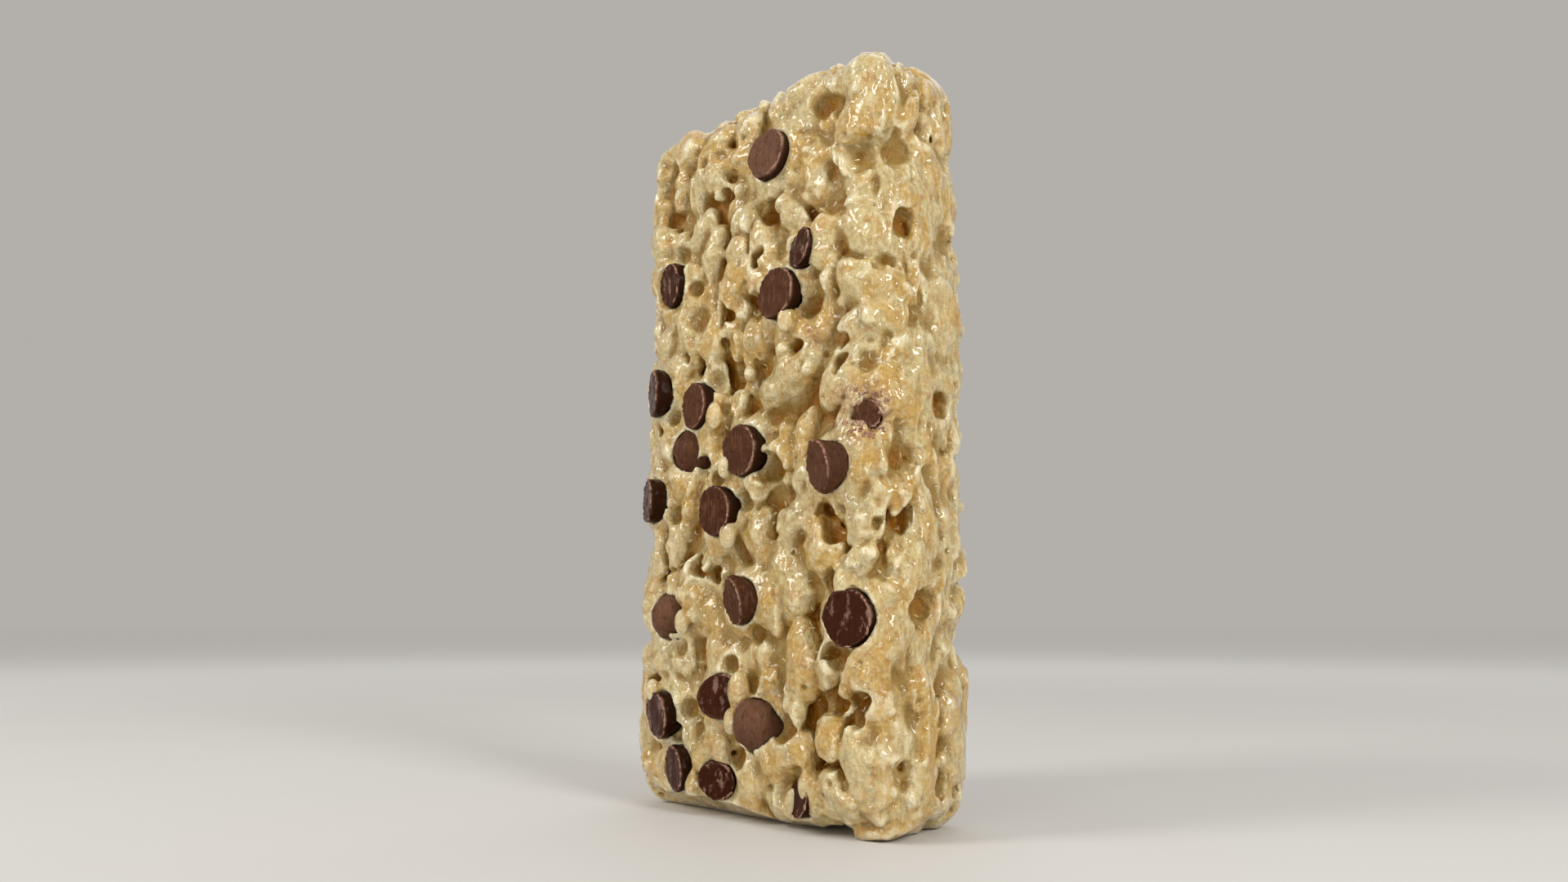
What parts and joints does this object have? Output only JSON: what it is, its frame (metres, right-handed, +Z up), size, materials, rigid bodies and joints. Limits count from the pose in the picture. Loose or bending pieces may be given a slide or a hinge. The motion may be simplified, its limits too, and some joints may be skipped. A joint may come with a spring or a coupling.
{
  "type": "rice crispy treat",
  "caption": "Upright bar of puffed rice grains stuck together with marshmallow and set with mini chocolate chips, standing on one end.",
  "frame": {"origin": "middle of the object's box in plan, at the level of the foot it stands on", "axes": "+Z up along the bar's length, -Y out of the broad front face, +X to the right seen from the front"},
  "size_m": [0.0434, 0.0216, 0.0873],
  "materials": {
    "rice": "puffed rice under a thin glaze of marshmallow, satin with small glossy spots",
    "chocolate": "semi-sweet chocolate, satin, with scuffed flat bases"
  },
  "bodies": {
    "root": {"rice_bar": "rice", "chocolate_chip_01": "chocolate", "chocolate_chip_02": "chocolate", "chocolate_chip_03": "chocolate", "chocolate_chip_04": "chocolate", "chocolate_chip_05": "chocolate", "chocolate_chip_06": "chocolate", "chocolate_chip_07": "chocolate", "chocolate_chip_08": "chocolate", "chocolate_chip_09": "chocolate", "chocolate_chip_10": "chocolate", "chocolate_chip_11": "chocolate", "chocolate_chip_12": "chocolate", "chocolate_chip_13": "chocolate", "chocolate_chip_14": "chocolate", "chocolate_chip_15": "chocolate", "chocolate_chip_16": "chocolate", "chocolate_chip_17": "chocolate", "chocolate_chip_18": "chocolate", "chocolate_chip_19": "chocolate", "chocolate_chip_20": "chocolate", "chocolate_chip_21": "chocolate", "chocolate_chip_22": "chocolate", "chocolate_chip_23": "chocolate", "chocolate_chip_24": "chocolate", "chocolate_chip_25": "chocolate", "chocolate_chip_26": "chocolate", "chocolate_chip_27": "chocolate", "chocolate_chip_28": "chocolate", "chocolate_chip_29": "chocolate", "chocolate_chip_30": "chocolate", "chocolate_chip_31": "chocolate", "chocolate_chip_32": "chocolate", "chocolate_chip_33": "chocolate"}
  },
  "joints": []
}
